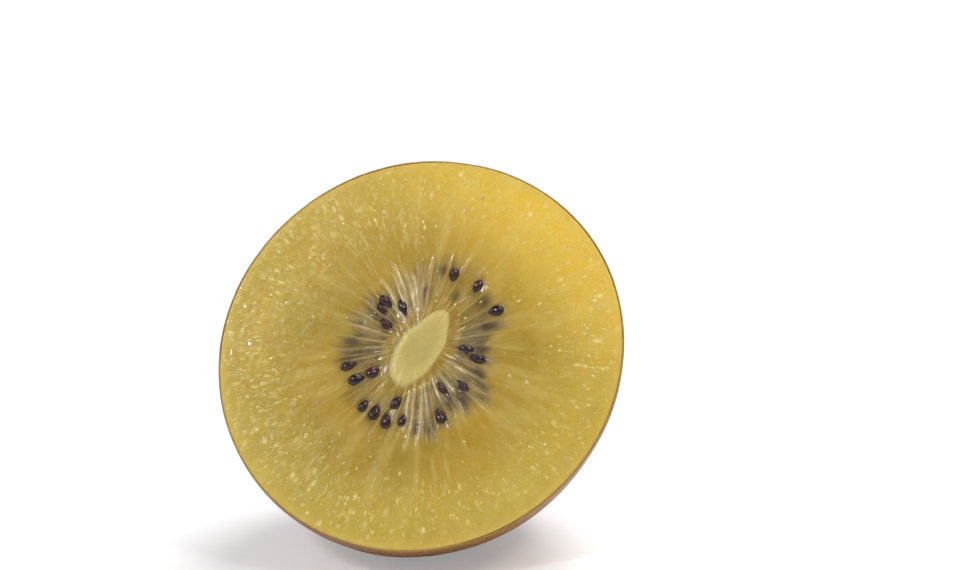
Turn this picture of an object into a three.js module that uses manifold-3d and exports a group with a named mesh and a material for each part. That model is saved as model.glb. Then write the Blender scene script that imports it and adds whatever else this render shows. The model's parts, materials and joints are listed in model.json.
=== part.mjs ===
// Half of a golden kiwi fruit, cut straight across the middle. It lies on its skin on a small flat spot,
// with the cut face tilted up towards -Y. Millimetres, +Z up. The origin is on the surface it rests on,
// under the middle of its bounding box.
import * as THREE from "three";
import { mergeVertices } from "three/addons/utils/BufferGeometryUtils.js";
import Module from "manifold-3d";

const wasm = await Module();
wasm.setup();

// Driving dimensions, in millimetres and degrees.
const fruit = {
  cutLongRadius: 25.8, // the cut is a slightly flattened round
  cutShortRadius: 24.0,
  halfLength: 33.5, // from the cut to the stem end
  roundness: 2.17, // exponent of the outline, 2 would be an ellipse
  shoulder: 0.052, // how much fuller the stem end is than a plain rounded outline
  dimpleRadius: 7.5, // the shallow hollow round the stem scar
  dimpleDepth: 1.1,
};
const pose = {
  faceTilt: 25, // how far the cut face looks up from the horizontal
  roll: 37, // the cut's long radius from the horizontal, seen from the front
  flatDepth: 0.72, // how far the weight presses the underside flat
};
const skinThickness = 0.6;
const gap = 0.3; // clearance between neighbouring pieces
const core = {
  longRadius: 6.1,
  shortRadius: 2.9,
  depth: 23,
  angle: 57, // its long radius from the horizontal, seen from the front
  rise: 0.9, // its centre above the middle of the cut
};
const locules = {
  count: 36, // narrow seed chambers, all round the core
  longReach: 12.8, // how far they reach from the core's centre
  shortReach: 9.4,
  coreClearance: 0.9,
  width: 0.7,
  depth: 0.4,
};
const seeds = {
  length: 2.0,
  width: 1.3,
  thickness: 1.0,
  sunk: 0.12, // centre of a seed below the cut
  ringLongRadius: 10.8,
  ringShortRadius: 7.2,
  angleJitter: 2.0,
  ringJitter: 0.03,
  turnJitter: 14,
  drawSeed: 7,
};
// The rows of seeds round the core: their share of the ring's radius, and the chambers whose seed the cut
// lays bare, counter-clockwise from the core's long radius as seen from the front.
const seedRows = [
  { share: 0.72, bare: "......#..#.....#...#....#.....#....." },
  { share: 0.95, bare: "##.....##......#.###......#..#......" },
  { share: 1.1, bare: "..............#........#..........#." },
];
const scar = {
  sepals: 6,
  tipRadius: 5.2,
  notchRadius: 3.1,
  thickness: 0.7,
  buttonRadius: 2.1,
  buttonHeight: 1.5,
  drawSeed: 3,
};
const facets = { round: 60, outline: 15, core: 28, groove: 6, seed: 8 };

const meanRadius = (fruit.cutLongRadius + fruit.cutShortRadius) / 2;
const radians = THREE.MathUtils.degToRad;
const toMatrix = (x, y, z, origin) => new THREE.Matrix4().makeBasis(x, y, z).setPosition(origin);

// A repeatable draw between -1 and 1.
function draws(seed) {
  let state = seed;
  return () => {
    state = (state * 1664525 + 1013904223) % 4294967296;
    return (state / 4294967296) * 2 - 1;
  };
}

// A closed geometry, placed by a matrix, as a solid that can be joined and cut.
function solid(geometry, matrix) {
  const placed = geometry.clone();
  placed.deleteAttribute("normal");
  placed.deleteAttribute("uv");
  if (matrix) placed.applyMatrix4(matrix);
  const merged = mergeVertices(placed.index ? placed.toNonIndexed() : placed, 1e-4);
  const made = new wasm.Manifold(
    new wasm.Mesh({
      numProp: 3,
      vertProperties: merged.attributes.position.array,
      triVerts: new Uint32Array(merged.index.array),
    }),
  );
  return made;
}

// A finished solid as a named mesh.
function meshOf(name, made, material) {
  const { vertProperties, triVerts } = made.getMesh();
  const geometry = new THREE.BufferGeometry()
    .setAttribute("position", new THREE.BufferAttribute(vertProperties, 3))
    .setIndex(new THREE.BufferAttribute(triVerts, 1));
  geometry.computeVertexNormals();
  const mesh = new THREE.Mesh(geometry, material);
  mesh.name = name;
  return mesh;
}

// The fruit's outline from the stem end to the cut: x is the distance from the axis, y the place on it.
function outlinePoint(share) {
  const turn = (share * Math.PI) / 2;
  const along = Math.cos(turn) ** (2 / fruit.roundness);
  const out = Math.sin(turn) ** (2 / fruit.roundness);
  const radius = meanRadius * out * (1 + fruit.shoulder * along);
  const dimple = 1 - THREE.MathUtils.smoothstep(radius, 0, fruit.dimpleRadius);
  return new THREE.Vector2(radius, -fruit.halfLength * along + fruit.dimpleDepth * dimple);
}

// The outline moved outwards by an offset, or inwards where it is negative.
function offsetOutline(offset) {
  const step = 1e-3;
  const points = [];
  for (let i = 0; i <= facets.outline; i++) {
    const share = i / facets.outline;
    const here = outlinePoint(share);
    const ahead = outlinePoint(Math.min(1, share + step)).sub(outlinePoint(Math.max(0, share - step)));
    const outward = new THREE.Vector2(ahead.y, -ahead.x).normalize();
    if (i === 0) outward.set(0, -1);
    if (i === facets.outline) outward.set(1, 0);
    points.push(here.add(outward.multiplyScalar(offset)));
  }
  points[0].x = 0;
  return points;
}

// The fruit's own frame: x along the cut's long radius, y out of the cut face, z along its short radius.
const tilt = radians(pose.faceTilt);
const right = new THREE.Vector3(1, 0, 0);
const upFace = new THREE.Vector3(0, Math.sin(tilt), Math.cos(tilt));
const outFace = new THREE.Vector3().crossVectors(right, upFace);
function facePlace(degrees, origin = new THREE.Vector3()) {
  const long = right.clone().multiplyScalar(Math.cos(radians(degrees)));
  long.addScaledVector(upFace, Math.sin(radians(degrees)));
  return toMatrix(long, outFace, new THREE.Vector3().crossVectors(long, outFace), origin);
}

// A body of the fruit's shape, its surface moved by an offset, running past the cut.
const pastCut = 3;
function fruitGeometry(offset) {
  const points = offsetOutline(offset);
  const rim = points[points.length - 1].x;
  points.push(new THREE.Vector2(rim, pastCut), new THREE.Vector2(0, pastCut));
  const geometry = new THREE.LatheGeometry(points, facets.round);
  return geometry.scale(fruit.cutLongRadius / meanRadius, 1, fruit.cutShortRadius / meanRadius);
}

// The cut's centre stands where the lowest point of the round body would be flatDepth under the surface.
const hanging = fruitGeometry(0).applyMatrix4(facePlace(pose.roll));
hanging.computeBoundingBox();
const cutCentre = new THREE.Vector3(0, 0, -hanging.boundingBox.min.z - pose.flatDepth);
const bodyPlace = facePlace(pose.roll, cutCentre);

// A large block whose top face is at the given height, to press a body flat.
function ground(height) {
  const side = 200;
  const block = new THREE.BoxGeometry(side, side, side);
  return solid(block, new THREE.Matrix4().makeTranslation(0, 0, height - side / 2));
}

// A large block in front of the cut face.
function frontBlock() {
  const side = 200;
  const block = new THREE.BoxGeometry(side, side, side).translate(0, side / 2, 0);
  return solid(block, facePlace(0, cutCentre));
}

const pressedBody = (inset) => solid(fruitGeometry(-inset), bodyPlace).subtract(ground(inset));

// The core's own frame: x along its long radius, y out of the cut face.
const coreCentre = cutCentre.clone().addScaledVector(upFace, core.rise);
const corePlace = facePlace(core.angle, coreCentre);

// A tapering column that ends in a round tip inside the fruit.
function coreSolid(clearance) {
  const points = [new THREE.Vector2(0, -core.depth - clearance)];
  const steps = 8;
  for (let i = 1; i <= steps; i++) {
    const share = i / steps;
    const radius = Math.sin((share * Math.PI) / 2) ** 0.7;
    points.push(new THREE.Vector2(radius, -(core.depth + clearance) * (1 - share)));
  }
  points.push(new THREE.Vector2(1, pastCut), new THREE.Vector2(0, pastCut));
  const column = new THREE.LatheGeometry(points, facets.core);
  column.scale(core.longRadius + clearance, 1, core.shortRadius + clearance);
  return solid(column, corePlace);
}

// Distance from the core's centre to an ellipse round it, in the direction of an angle from its long radius.
function reach(longRadius, shortRadius, angle) {
  return 1 / Math.hypot(Math.cos(angle) / longRadius, Math.sin(angle) / shortRadius);
}

// A point on the cut face, at a distance and angle from the core, with x pointing away from the core.
function faceSpot(distance, angle, turn, height) {
  const spot = new THREE.Matrix4().makeRotationY(angle);
  spot.multiply(new THREE.Matrix4().makeTranslation(distance, height, 0));
  spot.multiply(new THREE.Matrix4().makeRotationY(turn));
  return corePlace.clone().multiply(spot);
}

const loculeAngle = (index) => (index / locules.count) * 2 * Math.PI;

// One narrow groove for each seed chamber, from the core's edge outwards.
function groove(index) {
  const angle = loculeAngle(index + 0.5);
  const from = reach(core.longRadius, core.shortRadius, angle) + locules.coreClearance;
  const to = reach(locules.longReach, locules.shortReach, angle);
  const shape = new THREE.SphereGeometry(1, facets.groove, facets.groove);
  shape.scale((to - from) / 2, locules.depth, locules.width / 2);
  return solid(shape, faceSpot((from + to) / 2, angle, 0, 0));
}

// A flat drop, its pointed end towards the core.
function seedGeometry() {
  const points = [];
  for (let i = 0; i <= facets.seed; i++) {
    const share = i / facets.seed;
    const turn = share * Math.PI;
    const radius = Math.sin(turn) * (0.72 + 0.28 * Math.sin(turn - Math.PI / 3));
    points.push(new THREE.Vector2(Math.max(0, radius), -Math.cos(turn)));
  }
  points[0].x = 0;
  points[facets.seed].x = 0;
  const drop = new THREE.LatheGeometry(points, facets.seed).rotateZ(-Math.PI / 2);
  return drop.scale(seeds.length / 2, seeds.thickness / 2, seeds.width / 2);
}

// Every seed that the cut lays bare, in its chamber and row.
function seedSolids() {
  const draw = draws(seeds.drawSeed);
  const made = [];
  for (const row of seedRows)
    for (let index = 0; index < locules.count; index++) {
      const angle = loculeAngle(index) + radians(draw() * seeds.angleJitter);
      const share = row.share + draw() * seeds.ringJitter;
      const turn = radians(draw() * seeds.turnJitter);
      if (row.bare[index] !== "#") continue;
      const distance = share * reach(seeds.ringLongRadius, seeds.ringShortRadius, angle);
      made.push(solid(seedGeometry(), faceSpot(distance, angle, turn, -seeds.sunk)));
    }
  return made;
}

const joined = (solids) => solids.reduce((whole, piece) => whole.add(piece));

const skinSolid = () => pressedBody(0).subtract(pressedBody(skinThickness)).subtract(frontBlock());

function fleshSolid() {
  const grooves = [];
  for (let index = 0; index < locules.count; index++) grooves.push(groove(index));
  const body = pressedBody(skinThickness + gap).subtract(frontBlock());
  return body.subtract(coreSolid(gap)).subtract(joined(grooves)).add(joined(seedSolids()));
}

// A ragged star, as the dried sepals leave round the stem.
function sepalOutline() {
  const draw = draws(scar.drawSeed);
  const shape = new THREE.Shape();
  const corners = scar.sepals * 4;
  for (let i = 0; i < corners; i++) {
    const angle = ((i + 0.3 * draw()) / corners) * 2 * Math.PI;
    const wave = (1 + Math.cos((i / 4) * 2 * Math.PI)) / 2;
    const radius = scar.notchRadius + (scar.tipRadius - scar.notchRadius) * wave * (1 + 0.18 * draw());
    const point = [radius * Math.cos(angle), radius * Math.sin(angle)];
    if (i === 0) shape.moveTo(...point);
    else shape.lineTo(...point);
  }
  shape.closePath();
  return shape;
}

// The dried sepals follow the hollow at the stem end, round the woody stub of the stem.
function scarSolid() {
  const prism = new THREE.ExtrudeGeometry(sepalOutline(), { depth: 12, bevelEnabled: false });
  prism.rotateX(Math.PI / 2).translate(0, -fruit.halfLength + 6, 0);
  const sepals = solid(fruitGeometry(gap + scar.thickness), bodyPlace)
    .subtract(solid(fruitGeometry(gap), bodyPlace))
    .intersect(solid(prism, bodyPlace));
  const foot = -fruit.halfLength + fruit.dimpleDepth - gap - scar.thickness / 2;
  const stub = [
    new THREE.Vector2(0, foot - scar.buttonHeight),
    new THREE.Vector2(scar.buttonRadius * 0.55, foot - scar.buttonHeight),
    new THREE.Vector2(scar.buttonRadius * 0.85, foot - scar.buttonHeight * 0.7),
    new THREE.Vector2(scar.buttonRadius, foot),
    new THREE.Vector2(0, foot),
  ];
  return sepals.add(solid(new THREE.LatheGeometry(stub, 14), bodyPlace));
}

const looks = {
  skin: new THREE.MeshStandardMaterial({ color: 0xb27b3f, roughness: 0.5, metalness: 0 }),
  flesh: new THREE.MeshStandardMaterial({ color: 0xd2b04a, roughness: 0.35, metalness: 0 }),
  core: new THREE.MeshStandardMaterial({ color: 0xdccb83, roughness: 0.45, metalness: 0 }),
  scar: new THREE.MeshStandardMaterial({ color: 0x5b4028, roughness: 0.85, metalness: 0 }),
};

const kiwi = new THREE.Group();
kiwi.add(meshOf("skin", skinSolid(), looks.skin));
kiwi.add(meshOf("flesh", fleshSolid(), looks.flesh));
kiwi.add(meshOf("core", coreSolid(0).subtract(frontBlock()), looks.core));
kiwi.add(meshOf("stem_scar", scarSolid(), looks.scar));

// The origin goes under the middle of the whole.
const middle = new THREE.Box3().setFromObject(kiwi).getCenter(new THREE.Vector3());
kiwi.position.set(-middle.x, -middle.y, 0);

export default kiwi;
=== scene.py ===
import json
import math
import random

import bmesh
import bpy
import numpy as np
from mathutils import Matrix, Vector, noise


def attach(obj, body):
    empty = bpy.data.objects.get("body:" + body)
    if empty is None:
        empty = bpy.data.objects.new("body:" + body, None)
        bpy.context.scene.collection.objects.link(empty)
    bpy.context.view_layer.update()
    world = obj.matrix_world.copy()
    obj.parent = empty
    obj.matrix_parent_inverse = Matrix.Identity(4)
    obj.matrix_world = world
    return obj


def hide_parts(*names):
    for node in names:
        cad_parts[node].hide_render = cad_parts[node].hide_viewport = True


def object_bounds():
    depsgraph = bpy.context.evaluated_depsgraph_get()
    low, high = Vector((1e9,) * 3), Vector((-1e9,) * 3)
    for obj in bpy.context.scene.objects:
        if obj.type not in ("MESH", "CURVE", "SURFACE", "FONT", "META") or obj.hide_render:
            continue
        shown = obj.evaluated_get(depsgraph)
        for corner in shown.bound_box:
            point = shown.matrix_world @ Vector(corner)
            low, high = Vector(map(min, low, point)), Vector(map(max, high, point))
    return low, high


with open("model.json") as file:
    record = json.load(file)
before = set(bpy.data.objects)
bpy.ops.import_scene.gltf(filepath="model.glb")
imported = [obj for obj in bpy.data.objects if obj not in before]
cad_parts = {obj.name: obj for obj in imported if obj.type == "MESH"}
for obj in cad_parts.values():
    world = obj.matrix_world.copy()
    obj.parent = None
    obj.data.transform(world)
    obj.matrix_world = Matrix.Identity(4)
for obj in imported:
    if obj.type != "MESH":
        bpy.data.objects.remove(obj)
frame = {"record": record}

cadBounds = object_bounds()
mm = 0.001

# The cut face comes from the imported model: x to the right, y up the face, z out of it.
cutMount = next(m for m in frame["record"]["mounts"] if m["name"] == "cut_face")
cutCentre = np.array(cutMount["pos_m"])
outFace = np.array(cutMount["axis"]) / np.linalg.norm(cutMount["axis"])
rightFace = np.array((1.0, 0.0, 0.0))
upFace = np.cross(outFace, rightFace)
faceFrame = np.stack((rightFace, upFace, outFace))

# The round of the fruit in millimetres and degrees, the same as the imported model's.
fruit = {
    "longRadius": 25.8,
    "shortRadius": 24.0,
    "halfLength": 33.5,
    "roundness": 2.17,
    "shoulder": 0.052,
    "dimpleRadius": 7.5,
    "dimpleDepth": 1.1,
    "roll": 37,
    "lumps": ((14, 0.13), (5, 0.05), (1.7, 0.014)),  # blob size and height
    "puckers": 13,  # shallow folds round the stem end
    "puckerHeight": 0.09,
}
meanRadius = (fruit["longRadius"] + fruit["shortRadius"]) / 2


# Camera and light

camera = {
    "lens": 100,
    "sensor": 36,
    "clipStart": 0.01,
    "image": (968, 570),
    "faceAt": (420.8, 353.2),  # pixel that the middle of the cut lands on
    "pixelsPerMm": 8.05,
    "azimuth": 2.5,
    "elevation": 14.5,
}


def lookFrom(azimuth, elevation):
    a, e = math.radians(azimuth), math.radians(elevation)
    return Vector((math.sin(a) * math.cos(e), -math.cos(a) * math.cos(e), math.sin(e)))


def makeCamera():
    data = bpy.data.cameras.new("camera")
    data.lens = camera["lens"]
    data.sensor_width = camera["sensor"]
    data.clip_start = camera["clipStart"]
    made = bpy.data.objects.new("camera", data)
    bpy.context.scene.collection.objects.link(made)
    pixels = camera["lens"] / camera["sensor"] * camera["image"][0]
    back = lookFrom(camera["azimuth"], camera["elevation"])
    made.location = Vector(cutCentre) + back * pixels / camera["pixelsPerMm"] * mm
    sideways = Vector((0, 0, 1)).cross(back).normalized()
    upwards = back.cross(sideways)
    right = (camera["image"][0] / 2 - camera["faceAt"][0]) / camera["pixelsPerMm"]
    up = (camera["faceAt"][1] - camera["image"][1] / 2) / camera["pixelsPerMm"]
    aim = Vector(cutCentre) + (sideways * right + upwards * up) * mm
    made.rotation_mode = "QUATERNION"
    made.rotation_quaternion = (aim - made.location).to_track_quat("-Z", "Y")
    bpy.context.scene.camera = made


lights = {
    "key": {"azimuth": 44, "elevation": 46, "distance": 0.22, "size": 0.1, "power": 0.125, "warmth": 0.72},
    "spark": {"azimuth": 40, "elevation": 44, "distance": 0.35, "size": 0.04, "power": 0.1, "warmth": 1.0},
    "top": {"azimuth": 150, "elevation": 60, "distance": 1.3, "size": 0.8, "power": 12.5, "warmth": 1.0},
    "glint": {"azimuth": -30, "elevation": 37, "distance": 0.6, "size": 0.09, "power": 1.05, "warmth": 1.0},
    "fill": {"azimuth": -70, "elevation": 30, "distance": 1.0, "size": 0.6, "power": 1.5, "warmth": 1.0},
}
studio = {"light": 0.19, "seenByCamera": 0.98}


def makeLights():
    low, high = cadBounds
    middle = (low + high) / 2
    for name, light in lights.items():
        data = bpy.data.lights.new(name, "AREA")
        data.shape = "DISK"
        data.size = light["size"]
        data.energy = light["power"]
        data.color = (1, (1 + light["warmth"]) / 2, light["warmth"])
        made = bpy.data.objects.new(name, data)
        bpy.context.scene.collection.objects.link(made)
        away = lookFrom(light["azimuth"], light["elevation"])
        made.location = middle + away * light["distance"]
        made.rotation_mode = "QUATERNION"
        made.rotation_quaternion = (-away).to_track_quat("-Z", "Y")
        made.visible_camera = False
    world = bpy.data.worlds.new("studio")
    world.use_nodes = True
    tree = world.node_tree
    back = tree.nodes["Background"]
    back.inputs["Color"].default_value = (1, 1, 1, 1)
    # seen straight by the camera it is about as white as the table
    seen = tree.nodes.new("ShaderNodeLightPath").outputs["Is Camera Ray"]
    strength = tree.nodes.new("ShaderNodeMapRange")
    tree.links.new(seen, strength.inputs["Value"])
    strength.inputs["To Min"].default_value = studio["light"]
    strength.inputs["To Max"].default_value = studio["seenByCamera"]
    tree.links.new(strength.outputs["Result"], back.inputs["Strength"])
    bpy.context.scene.world = world
    bpy.context.scene.view_settings.view_transform = "Standard"


makeCamera()
makeLights()
print("camera and lights are placed")


# Shapes

def smooth(low, high, value):
    share = np.clip((value - low) / (high - low), 0, 1)
    return share * share * (3 - 2 * share)


def bell(value, middle, spread):
    return np.exp(-(((value - middle) / spread) ** 2))


def turnFrom(angle, middle):
    # degrees between an angle in radians and a middle in degrees, the short way round
    return np.abs((np.degrees(angle) - middle + 180) % 360 - 180)


def softNoise(points, size, shift=0.0):
    # smooth noise between -1 and 1 with blobs about size across
    flat = np.asarray(points, float).reshape(-1, 3) / size + shift
    values = np.array([noise.noise(Vector(point)) for point in flat])
    return values.reshape(np.shape(points)[:-1])


def cellNoise(points, size):
    # 0 in the middle of each cell, rising towards its walls
    flat = np.asarray(points, float).reshape(-1, 3) / size
    values = np.array([noise.voronoi(Vector(point))[0][0] for point in flat])
    return values.reshape(np.shape(points)[:-1])


def toWorld(points):
    # millimetres on the cut face to metres in the part's frame
    return cutCentre + (np.asarray(points) @ faceFrame) * mm


def pressFlat(points, height):
    # what would sink below the table is pressed up to it
    points[..., 2] = np.maximum(points[..., 2], height * mm)
    return points


def turns(count):
    return np.arange(count) * 2 * math.pi / count


def swing(draw, most):
    return draw.uniform(-most, most)


def facePoints(x, y, z=0.0):
    return np.stack((x, y, z + 0 * x), axis=-1)


def outline(share):
    # distance from the axis and place on it, from the stem end at 0 to the cut at 1
    turn = np.asarray(share) * math.pi / 2
    along = np.cos(turn) ** (2 / fruit["roundness"])
    out = np.sin(turn) ** (2 / fruit["roundness"])
    radius = meanRadius * out * (1 + fruit["shoulder"] * along)
    dimple = 1 - smooth(0, fruit["dimpleRadius"], radius)
    return np.stack((radius, -fruit["halfLength"] * along + fruit["dimpleDepth"] * dimple), axis=-1)


def ontoFace(radius, along, angle):
    # a place by its distance and angle round the axis, before the fruit is rolled
    long = radius * np.cos(angle) * fruit["longRadius"] / meanRadius
    short = radius * np.sin(angle) * fruit["shortRadius"] / meanRadius
    roll = math.radians(fruit["roll"])
    x = long * math.cos(roll) - short * math.sin(roll)
    y = long * math.sin(roll) + short * math.cos(roll)
    return np.stack((x, y, along + 0 * x), axis=-1)


def bodySurface(shares, angles, inset):
    # rows of points on the fruit's surface, or below it by inset
    shares = np.asarray(shares, float)
    step = 1e-3
    here = outline(shares)
    ahead = outline(np.minimum(1, shares + step)) - outline(np.maximum(0, shares - step))
    outward = np.stack((ahead[:, 1], -ahead[:, 0]), axis=-1)
    outward /= np.linalg.norm(outward, axis=-1, keepdims=True)
    outward[shares == 1] = (1, 0)
    surface = ontoFace(here[:, :1], here[:, 1:], angles[None])
    beyond = here + outward
    grown = ontoFace(beyond[:, :1], beyond[:, 1:], angles[None]) - surface
    height = sum(softNoise(surface, size, 5.5) * depth for size, depth in fruit["lumps"])
    pucker = smooth(1.5, 4, here[:, :1]) * (1 - smooth(5.5, 10, here[:, :1]))
    folds = np.cos(fruit["puckers"] * angles[None] + 2.2 * np.sin(2 * angles[None]))
    height = height + fruit["puckerHeight"] * pucker * folds
    return surface + grown * (height - inset)[..., None]


def endPoint(inset):
    return np.array((0.0, 0.0, outline(0.0)[1] + inset))


def buildPiece(name, bodies, material):
    # a body is a stack of rows, each one turn of points, closed by a point at either end
    points, faces, count = [], [], 0
    for rows, first, last in bodies:
        rowCount, around = rows.shape[:2]
        index = count + np.arange(rowCount * around).reshape(rowCount, around)
        beside = np.roll(index, -1, axis=1)
        quads = np.stack((index[:-1], beside[:-1], beside[1:], index[1:]), axis=-1)
        faces += quads.reshape(-1, 4).tolist()
        start, end = count + rowCount * around, count + rowCount * around + 1
        faces += [[start, b, a] for a, b in zip(index[0].tolist(), beside[0].tolist())]
        faces += [[end, a, b] for a, b in zip(index[-1].tolist(), beside[-1].tolist())]
        points += [rows.reshape(-1, 3), np.reshape(first, (1, 3)), np.reshape(last, (1, 3))]
        count = end + 1
    mesh = bpy.data.meshes.new(name)
    mesh.from_pydata(np.concatenate(points).tolist(), [], faces)
    work = bmesh.new()
    work.from_mesh(mesh)
    bmesh.ops.recalc_face_normals(work, faces=work.faces)
    work.to_mesh(mesh)
    work.free()
    mesh.shade_smooth()
    mesh.materials.append(material)
    made = bpy.data.objects.new(name, mesh)
    bpy.context.scene.collection.objects.link(made)
    return made


def paint(piece, name, values):
    # a value for every point, read in the material by an Attribute node
    layer = piece.data.attributes.new(name, "FLOAT", "POINT")
    layer.data.foreach_set("value", np.asarray(values, np.float32).ravel())


# Shader helpers and the effects that several materials share

def tint(red, green, blue):
    # a screen colour from 0 to 255 as the linear colour that shaders take
    linear = [((v / 255 + 0.055) / 1.055) ** 2.4 for v in (red, green, blue)]
    return (*linear, 1.0)


def fill(tree, node, sockets):
    # what comes from another node is linked, and what is the same all over is set
    for name, value in sockets.items():
        if isinstance(value, bpy.types.NodeSocket):
            tree.links.new(value, node.inputs[name])
        else:
            node.inputs[name].default_value = value


def place(tree, kind, sockets=None, **settings):
    made = tree.nodes.new("ShaderNode" + kind)
    for name, value in settings.items():
        setattr(made, name, value)
    fill(tree, made, sockets or {})
    return made


def maths(tree, operation, first, second=0.0):
    return place(tree, "Math", {0: first, 1: second}, operation=operation).outputs[0]


def times(tree, first, second):
    return maths(tree, "MULTIPLY", first, second)


def stretch(tree, value, low, high, toLow=0.0, toHigh=1.0):
    sockets = {"Value": value, "From Min": low, "From Max": high, "To Min": toLow, "To Max": toHigh}
    return place(tree, "MapRange", sockets, interpolation_type="SMOOTHSTEP").outputs["Result"]


def mixed(tree, share, first, second):
    return place(tree, "Mix", {0: share, 6: first, 7: second}, data_type="RGBA").outputs[2]


def layered(tree, colour, *layers):
    # each layer says where it lies, how strong it is at most, and its colour
    for mask, share, over in layers:
        colour = mixed(tree, mask if share == 1 else times(tree, mask, share), colour, over)
    return colour


def addedUp(tree, height, *others):
    # one height out of several, each with its share
    for other, share in others:
        height = maths(tree, "ADD", height, times(tree, other, share))
    return height


def painted(tree, name, part="Fac"):
    return place(tree, "Attribute", attribute_name=name).outputs[part]


def effectGroup(name, inputs, outputs):
    tree = bpy.data.node_groups.new(name, "ShaderNodeTree")
    for socket, kind, value in inputs:
        made = tree.interface.new_socket(socket, in_out="INPUT", socket_type="NodeSocket" + kind)
        if kind == "Float":
            made.default_value = value
    for socket in outputs:
        tree.interface.new_socket(socket, in_out="OUTPUT", socket_type="NodeSocketFloat")
    return tree, tree.nodes.new("NodeGroupInput").outputs, tree.nodes.new("NodeGroupOutput").inputs


def makeGrain():
    # soft blotches and a fine grain, sizes in millimetres
    inputs = (("Vector", "Vector", None), ("Size", "Float", 1.0), ("Roughness", "Float", 0.6))
    tree, given, wanted = effectGroup("grain", inputs, ("Tone", "Height"))
    scale = maths(tree, "DIVIDE", 1 / mm, given["Size"])
    sockets = {"Vector": given["Vector"], "Scale": scale, "Detail": 4.0, "Roughness": given["Roughness"]}
    cloud = place(tree, "TexNoise", sockets).outputs["Fac"]
    tree.links.new(stretch(tree, cloud, 0.3, 0.7), wanted["Tone"])
    tree.links.new(cloud, wanted["Height"])
    return tree


def makeDots():
    # scattered round dots; Spacing in millimetres, Width as a share of it, Amount of the cells have one
    inputs = (
        ("Vector", "Vector", None), ("Spacing", "Float", 1.0),
        ("Width", "Float", 0.3), ("Amount", "Float", 0.5),
    )
    tree, given, wanted = effectGroup("dots", inputs, ("Mask", "Height"))
    scale = maths(tree, "DIVIDE", 1 / mm, given["Spacing"])
    cells = place(tree, "TexVoronoi", {"Vector": given["Vector"], "Scale": scale})
    chance = place(tree, "SeparateColor", {"Color": cells.outputs["Color"]}).outputs
    width = times(tree, given["Width"], maths(tree, "ADD", chance["Red"], 0.45))
    dot = stretch(tree, cells.outputs["Distance"], times(tree, width, 0.2), width, 1.0, 0.0)
    mask = times(tree, dot, maths(tree, "LESS_THAN", chance["Green"], given["Amount"]))
    tree.links.new(mask, wanted["Mask"])
    tree.links.new(times(tree, mask, mask), wanted["Height"])
    return tree


def drawnOut(tree, given):
    # the third part of Rays is the distance in millimetres, so one cell gets the asked length
    parts = place(tree, "SeparateXYZ", {"Vector": given["Rays"]}).outputs
    cell = times(tree, given["Length"], given["Fineness"])
    along = maths(tree, "DIVIDE", parts[2], cell)
    return place(tree, "CombineXYZ", {0: parts[0], 1: parts[1], 2: along}).outputs[0]


def makeFlecks():
    # short irregular flecks that lie along the rays; Amount of the cells have one
    inputs = (
        ("Rays", "Vector", None), ("Fineness", "Float", 40.0), ("Length", "Float", 1.0),
        ("Width", "Float", 0.3), ("Amount", "Float", 0.4),
    )
    tree, given, wanted = effectGroup("flecks", inputs, ("Mask",))
    drawn = drawnOut(tree, given)
    ragged = place(tree, "TexNoise", {"Vector": drawn, "Scale": times(tree, given["Fineness"], 1.7)})
    bent = place(tree, "VectorMath", {0: ragged.outputs["Color"], 1: (0.5, 0.5, 0.5)}, operation="SUBTRACT")
    bend = place(tree, "VectorMath", {0: bent.outputs[0], "Scale": 0.02}, operation="SCALE")
    moved = place(tree, "VectorMath", {0: drawn, 1: bend.outputs[0]}, operation="ADD")
    cells = place(tree, "TexVoronoi", {"Vector": moved.outputs[0], "Scale": given["Fineness"]})
    chance = place(tree, "SeparateColor", {"Color": cells.outputs["Color"]}).outputs
    width = times(tree, given["Width"], maths(tree, "ADD", chance["Red"], 0.3))
    fleck = stretch(tree, cells.outputs["Distance"], 0.0, width, 1.0, 0.0)
    shown = maths(tree, "LESS_THAN", chance["Green"], given["Amount"])
    force = times(tree, shown, maths(tree, "ADD", times(tree, chance["Blue"], 0.75), 0.25))
    tree.links.new(times(tree, fleck, force), wanted["Mask"])
    return tree


def makeRays():
    # fine streaks that run out from the core; Rays is the painted direction round it
    inputs = (
        ("Rays", "Vector", None), ("Fineness", "Float", 20.0), ("Length", "Float", 5.0),
        ("Low", "Float", 0.4), ("High", "Float", 0.7),
    )
    tree, given, wanted = effectGroup("rays", inputs, ("Streak",))
    sockets = {"Vector": drawnOut(tree, given), "Scale": given["Fineness"], "Detail": 2.0}
    lines = place(tree, "TexNoise", sockets).outputs["Fac"]
    tree.links.new(stretch(tree, lines, given["Low"], given["High"]), wanted["Streak"])
    return tree


grainEffect = makeGrain()
dotsEffect = makeDots()
raysEffect = makeRays()
flecksEffect = makeFlecks()


def effect(tree, group, **values):
    return place(tree, "Group", values, node_tree=group).outputs


def grainsOf(tree, where, sizes):
    # a grain for each name, by its size in millimetres and its roughness
    return {
        name: effect(tree, grainEffect, Vector=where, Size=size, Roughness=rough)
        for name, (size, rough) in sizes.items()
    }


def streaksOf(tree, rays, settings):
    # streaks for each name: fineness, length in millimetres, and the noise where they start and are full
    made = {}
    for name, values in settings.items():
        sockets = dict(zip(("Fineness", "Length", "Low", "High"), values))
        made[name] = effect(tree, raysEffect, Rays=rays, **sockets)["Streak"]
    return made


def startMaterial(name):
    made = bpy.data.materials.new(name)
    made.use_nodes = True
    tree = made.node_tree
    where = place(tree, "TexCoord").outputs["Object"]
    return made, tree, tree.nodes["Principled BSDF"], where


def dress(tree, shader, colour, roughness, settings):
    fill(tree, shader, {"Base Color": colour, "Roughness": roughness, **settings})


def toneTo(tree, tone, ends):
    return stretch(tree, tone, 0.0, 1.0, *ends)


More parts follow.
